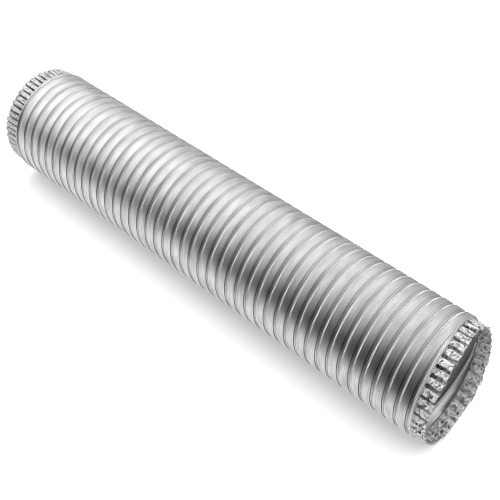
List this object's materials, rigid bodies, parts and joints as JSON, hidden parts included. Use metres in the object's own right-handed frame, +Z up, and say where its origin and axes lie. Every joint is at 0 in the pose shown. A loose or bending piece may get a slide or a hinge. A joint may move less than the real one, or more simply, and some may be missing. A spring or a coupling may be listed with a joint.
{
  "type": "flexible aluminium duct",
  "caption": "Semi-rigid ribbed aluminium air duct lying on its side, open through, with a gathered pleated collar at each end.",
  "frame": {"origin": "centre of the duct's length, on the surface that it lies on", "axes": "+X along the duct's axis towards the nearer end in the picture, +Z up"},
  "size_m": [0.6158, 0.125, 0.1247],
  "materials": {
    "foil": "bright rolled aluminium foil with fine knurling"
  },
  "bodies": {
    "root": {"duct": "foil"}
  },
  "joints": []
}
